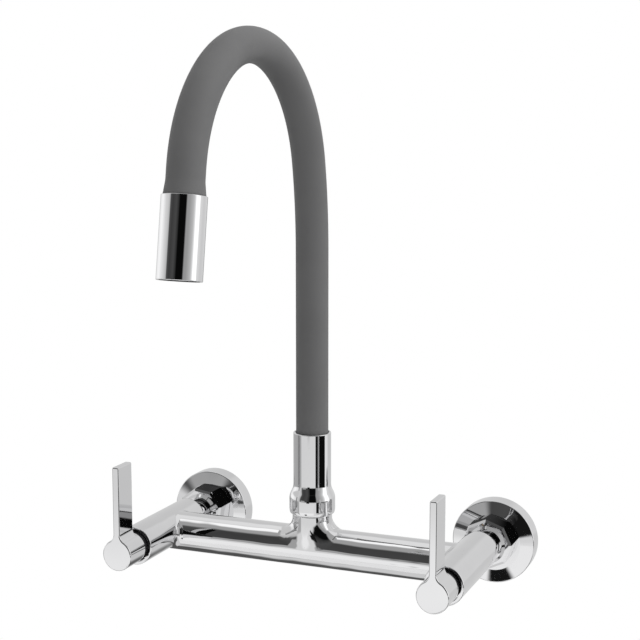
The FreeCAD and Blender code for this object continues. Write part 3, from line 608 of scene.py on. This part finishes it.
def plastic(name, light, dark, clean, marked):
    """Moulded plastic with a fine spark-eroded skin."""
    finish = Finish(name)
    finish.tint(light, dark, 150.0)
    finish.marks(clean, marked)
    finish.relief(finish.effect("grain", "Height", Coarse_Scale=1200.0), 0.00002)
    return finish.material


finishes = {
    "chrome": chrome("plated_chrome", PLATING_WAVE_DEPTH),
    "brass": brass("turned_brass", (0.76, 0.58, 0.27), (0.60, 0.44, 0.20), 0.22, 0.42),
    # The cartridge bodies' brass is coloured near black as painted shade. It stands in for the shade in the
    # recess between each barrel's mouth and its lever hub.
    "dark_brass": brass("brass_darkened_as_painted_recess_shade", (0.05, 0.045, 0.04), (0.036, 0.033, 0.03), 0.3, 0.5),
    "silicone": silicone(),
    "seal_rubber": rubber("black_seal_rubber", (0.034, 0.034, 0.034), (0.026, 0.026, 0.026)),
    "hose_rubber": rubber("grey_hose_rubber", (0.085, 0.085, 0.09), (0.07, 0.07, 0.075)),
    "steel": steel(),
    "ceramic": ceramic(),
    "black_plastic": plastic("black_plastic", (0.024, 0.024, 0.026), (0.018, 0.018, 0.02), 0.38, 0.55),
    "slip_plastic": plastic("white_slip_plastic", (0.86, 0.86, 0.84), (0.80, 0.80, 0.77), 0.35, 0.5),
}
cast_chrome = chrome("cast_chrome", CASTING_WAVE_DEPTH)


def dress_nodes():
    """Gives each node its slot's finish, and the body casting its wavier plating."""
    for subpart in frame["record"]["subparts"]:
        node = frame["nodes"][subpart["node"]]
        finish = finishes[subpart["material_slot"]]
        if subpart["node"] == "body_casting":
            finish = cast_chrome
        for place in node.material_slots:
            place.material = finish


# Stage


def direction_to(azimuth, elevation):
    """The direction at an azimuth from straight in front towards the right, and an elevation, in degrees."""
    turn = math.radians(azimuth)
    rise = math.radians(elevation)
    level = math.cos(rise)
    return Vector((math.sin(turn) * level, -math.cos(turn) * level, math.sin(rise)))


def make_camera():
    """A camera at the photograph's place, turned down by its elevation, with no roll."""
    back = direction_to(CAMERA_AZIMUTH, CAMERA_ELEVATION)
    data = bpy.data.cameras.new("camera")
    data.lens = CAMERA_LENS
    data.sensor_width = CAMERA_SENSOR
    data.clip_start = CAMERA_NEAR_CLIP
    camera = bpy.data.objects.new("camera", data)
    camera.location = CAMERA_PLACE
    camera.rotation_euler = (-back).to_track_quat("-Z", "Y").to_euler()
    bpy.context.scene.collection.objects.link(camera)
    bpy.context.scene.camera = camera


def make_floor():
    """A pale floor well below the tap, from under the bell's mouth out to the front."""
    height = cad_box[0].z - FLOOR_DROP
    left, right = -FLOOR_HALF_WIDTH, FLOOR_HALF_WIDTH
    corners = [(left, FLOOR_FRONT), (right, FLOOR_FRONT), (right, FLOOR_BACK), (left, FLOOR_BACK)]
    mesh = bpy.data.meshes.new("floor")
    mesh.from_pydata([(x, y, height) for x, y in corners], [], [(0, 1, 2, 3)])
    floor = bpy.data.objects.new("floor", mesh)
    bpy.context.scene.collection.objects.link(floor)
    material = bpy.data.materials.new("pale_floor")
    material.use_nodes = True
    tree = material.node_tree
    tree.nodes.clear()
    matt = add_node(tree, "ShaderNodeBsdfDiffuse")
    matt.inputs["Color"].default_value = FLOOR_COLOUR
    glow = add_node(tree, "ShaderNodeEmission")
    path = add_node(tree, "ShaderNodeLightPath")
    seen = math_node(tree, "MAXIMUM", path.outputs["Is Camera Ray"], path.outputs["Is Glossy Ray"])
    seen = math_node(tree, "MAXIMUM", seen, path.outputs["Is Transmission Ray"])
    mix = add_node(tree, "ShaderNodeMixShader")
    tree.links.new(math_node(tree, "MULTIPLY", seen, FLOOR_GLOW_SHARE), mix.inputs[0])
    tree.links.new(matt.outputs[0], mix.inputs[1])
    tree.links.new(glow.outputs[0], mix.inputs[2])
    output = add_node(tree, "ShaderNodeOutputMaterial")
    tree.links.new(mix.outputs[0], output.inputs["Surface"])
    mesh.materials.append(material)


def make_key_lamp():
    """A broad soft lamp up on the right, which lights the matt pieces and leaves no spot in the chrome."""
    towards = direction_to(KEY_AZIMUTH, KEY_ELEVATION)
    data = bpy.data.lights.new("key_lamp", "SUN")
    data.energy = KEY_STRENGTH
    data.angle = math.radians(KEY_SPREAD)
    lamp = bpy.data.objects.new("key_lamp", data)
    lamp.rotation_euler = towards.to_track_quat("Z", "Y").to_euler()
    lamp.visible_glossy = False
    bpy.context.scene.collection.objects.link(lamp)


CARD_SOCKETS = ("Centre", "Half Width", "Side Softness", "Height", "Half Height", "End Softness")


def make_card_group():
    """A soft-edged rectangle in the studio, as a 0 to 1 mask by direction in degrees."""
    tree = new_tree("studio_card")
    for name in ("Azimuth", "Elevation") + CARD_SOCKETS:
        socket(tree, name, "INPUT")
    socket(tree, "Mask", "OUTPUT")
    inside = add_node(tree, "NodeGroupInput").outputs
    outside = add_node(tree, "NodeGroupOutput")
    turn = math_node(tree, "SUBTRACT", inside["Azimuth"], inside["Centre"])
    turn = math_node(tree, "WRAP", turn, 180.0, -180.0)
    sides = math_node(tree, "ABSOLUTE", turn)
    ends = math_node(tree, "ABSOLUTE", math_node(tree, "SUBTRACT", inside["Elevation"], inside["Height"]))
    masks = []
    for value, half, soft in ((sides, "Half Width", "Side Softness"), (ends, "Half Height", "End Softness")):
        near = math_node(tree, "SUBTRACT", inside[half], inside[soft])
        far = math_node(tree, "ADD", inside[half], inside[soft])
        masks.append(ranged(tree, value, near, far, 1.0, 0.0))
    tree.links.new(math_node(tree, "MULTIPLY", *masks), outside.inputs["Mask"])
    return tree


# What stands round the tap. Azimuth runs from straight in front towards the right, and elevation up from the
# horizon, in degrees. A ring gives the walls' brightness at azimuths that it passes, from behind round by the
# left, and a card is (azimuth, half width, softness), (elevation, half height, softness), brightness.
RING_TOP = 4.0
UPPER_RING = (
    (-180, 0.85), (-150, 0.72), (-128, 0.75), (-118, 1.1), (-95, 1.28), (-62, 0.9), (-45, 0.62), (-41, 0.10),
    (-28, 0.06), (-8, 0.085), (4, 0.035), (8, 0.004), (40, 0.004), (45, 0.4), (56, 0.42), (66, 0.52),
    (78, 0.66), (86, 0.95), (92, 1.5), (110, 1.7), (116, 0.95), (140, 0.8), (180, 0.85),
)
LOWER_RING = (
    (-180, 0.72), (-150, 0.55), (-80, 0.5), (-74, 0.48), (-73, 0.05), (-71, 0.05), (-70, 0.5), (-50, 0.5),
    (-46, 0.88), (41, 0.9), (58, 0.5), (63, 0.5), (80, 0.62), (108, 1.05), (122, 1.0), (140, 0.74),
    (180, 0.72),
)
STUDIO_BELOW = ((0.0, 181.0, 0.5), (-90.0, 82.0, 2.5))
STUDIO = {
    "ceiling": ((0.0, 181.0, 0.5), (90.0, 46.0, 5.0), 0.45),
    "ceiling_back": ((180.0, 80.0, 10.0), (67.0, 23.0, 4.0), 0.98),
    "ceiling_light": ((-75.0, 22.0, 8.0), (69.0, 9.0, 3.0), 1.3),
    "under_bar": ((0.0, 181.0, 0.5), (-90.0, 29.0, 5.0), 0.80),
    "floor_behind": ((180.0, 88.0, 6.0), (-49.0, 17.5, 4.0), 0.10),
    "left_wall_high": ((-122.0, 62.0, 6.0), (29.0, 20.0, 4.0), 0.74),
    "table_edge": ((-27.0, 10.0, 2.0), (-4.0, 5.0, 1.5), 0.46),
    "white_table": ((-8.0, 38.0, 3.0), (-27.0, 10.5, 2.0), 1.12),
    "right_post": ((49.5, 7.5, 1.0), (-13.5, 5.5, 2.0), 0.01),
    "right_doorway": ((85.0, 21.0, 1.5), (-13.5, 5.5, 2.0), 0.005),
    "dark_gap": ((0.0, 7.0, 1.5), (-7.5, 5.0, 0.8), 0.01),
    "table_gap": ((-13.0, 6.0, 1.5), (-32.0, 5.0, 1.5), 0.01),
}


def mixed(tree, share, low, high):
    """A Mix node between two levels."""
    mix = add_node(tree, "ShaderNodeMix", data_type="FLOAT")
    for value, place in ((share, 0), (low, MIX_FIRST_NUMBER), (high, MIX_SECOND_NUMBER)):
        link_or_set(tree, value, mix.inputs[place])
    return mix.outputs[0]


def wall_ring(tree, azimuth, levels):
    """The brightness of the walls at an azimuth, straight between the ring's levels."""
    ramp = add_node(tree, "ShaderNodeValToRGB")
    ramp.color_ramp.interpolation = "LINEAR"
    stops = ramp.color_ramp.elements
    while len(stops) < len(levels):
        stops.new(1.0)
    for stop, (place, level) in zip(stops, levels):
        stop.position = (place + 180.0) / 360.0
        share = level / RING_TOP
        stop.color = (share, share, share, 1.0)
    tree.links.new(math_node(tree, "DIVIDE", math_node(tree, "ADD", azimuth, 180.0), 360.0), ramp.inputs[0])
    return math_node(tree, "MULTIPLY", ramp.outputs[0], RING_TOP)


def make_world():
    """A studio of rings and cards, which the camera itself sees as plain white."""
    group = make_card_group()
    world = bpy.data.worlds.new("studio")
    world.use_nodes = True
    bpy.context.scene.world = world
    tree = world.node_tree
    tree.nodes.clear()
    direction = add_node(tree, "ShaderNodeSeparateXYZ")
    tree.links.new(add_node(tree, "ShaderNodeTexCoord").outputs["Generated"], direction.inputs[0])
    x, y, z = direction.outputs
    azimuth = math_node(tree, "DEGREES", math_node(tree, "ARCTAN2", x, math_node(tree, "MULTIPLY", y, -1.0)))
    elevation = math_node(tree, "DEGREES", math_node(tree, "ARCSINE", z))

    def card_mask(name, sides, ends):
        """A card's mask at the direction that the ray takes."""
        card = add_node(tree, "ShaderNodeGroup", node_tree=group, name=name)
        tree.links.new(azimuth, card.inputs["Azimuth"])
        tree.links.new(elevation, card.inputs["Elevation"])
        for key, value in zip(CARD_SOCKETS, sides + ends):
            card.inputs[key].default_value = value
        return card.outputs["Mask"]

    upper = wall_ring(tree, azimuth, UPPER_RING)
    lower = wall_ring(tree, azimuth, LOWER_RING)
    level = mixed(tree, card_mask("below", *STUDIO_BELOW), upper, lower)
    for name, (sides, ends, brightness) in STUDIO.items():
        level = mixed(tree, card_mask(name, sides, ends), level, brightness)
    path = add_node(tree, "ShaderNodeLightPath")
    background = add_node(tree, "ShaderNodeBackground")
    tree.links.new(mixed(tree, path.outputs["Is Camera Ray"], level, 1.0), background.inputs["Strength"])
    background.inputs["Color"].default_value = (1.0, 1.0, 1.0, 1.0)
    output = add_node(tree, "ShaderNodeOutputWorld")
    tree.links.new(background.outputs[0], output.inputs["Surface"])


make_camera()
rear_sleeve = sleeve_half("sleeve_rear_half", sleeve_start, crown_top)
front_sleeve = sleeve_half("sleeve_front_half", crown_top, sleeve_end - SEAT_GAP)
fit_gooseneck(
    rear_sleeve,
    front_sleeve,
    "silicone",
    ("sleeve_riser", "sleeve_rear_bend"),
    ("sleeve_crown", "sleeve_front_bend", "sleeve_outlet"),
)
rear_coil = coil_half("coil_rear_half", SEAT_GAP, crown_top)
front_coil = coil_half("coil_front_half", crown_top, coil_end - SEAT_GAP)
fit_gooseneck(rear_coil, front_coil, "steel", ("gooseneck_coil",), ("gooseneck_coil",))
rear_hose = hose_half("hose_rear_half", SEAT_GAP, crown_top)
front_hose = hose_half("hose_front_half", crown_top, coil_end - SEAT_GAP)
fit_gooseneck(rear_hose, front_hose, "hose_rubber", ("inner_hose",), ("inner_hose",))
for side in ("left", "right"):
    threaded_connector(side)
dress_nodes()
make_floor()
make_key_lamp()
make_world()
bpy.context.scene.view_settings.view_transform = "Standard"
